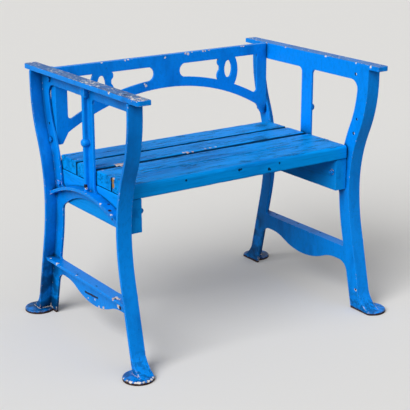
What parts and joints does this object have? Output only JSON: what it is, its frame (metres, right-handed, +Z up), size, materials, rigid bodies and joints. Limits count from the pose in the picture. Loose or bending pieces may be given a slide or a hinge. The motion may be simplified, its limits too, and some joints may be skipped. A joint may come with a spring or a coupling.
{
  "type": "garden bench",
  "caption": "Painted garden bench with a plank seat between cast-iron end frames with arm plates, and a fretted cast-iron back brace.",
  "frame": {"origin": "bottom centre of the whole bench, on the floor", "axes": "+X along the bench to the sitter's left, +Y towards the back, +Z up"},
  "size_m": [0.851, 0.623, 0.705],
  "materials": {
    "blue_cast_iron": "brushed gloss paint, chipped",
    "blue_cast_brace": "brushed gloss paint",
    "blue_seat_wood": "worn gloss paint over grain",
    "blue_bearer_wood": "brushed gloss paint",
    "blue_fastener": "painted over",
    "painted_nail": "painted over"
  },
  "bodies": {
    "root": {"left_side_frame": "blue_cast_iron", "left_seat_bearer": "blue_bearer_wood", "left_bearer_bolts": "blue_fastener", "left_bearer_washers": "blue_fastener", "left_bearer_nuts": "blue_fastener", "left_brace_bolts": "blue_fastener", "left_brace_washers": "blue_fastener", "left_brace_nuts": "blue_fastener", "left_plank_nails": "painted_nail", "right_side_frame": "blue_cast_iron", "right_seat_bearer": "blue_bearer_wood", "right_bearer_bolts": "blue_fastener", "right_bearer_washers": "blue_fastener", "right_bearer_nuts": "blue_fastener", "right_brace_bolts": "blue_fastener", "right_brace_washers": "blue_fastener", "right_brace_nuts": "blue_fastener", "right_plank_nails": "painted_nail", "front_seat_plank": "blue_seat_wood", "second_seat_plank": "blue_seat_wood", "third_seat_plank": "blue_seat_wood", "rear_seat_plank": "blue_seat_wood", "back_brace": "blue_cast_brace"}
  },
  "joints": []
}
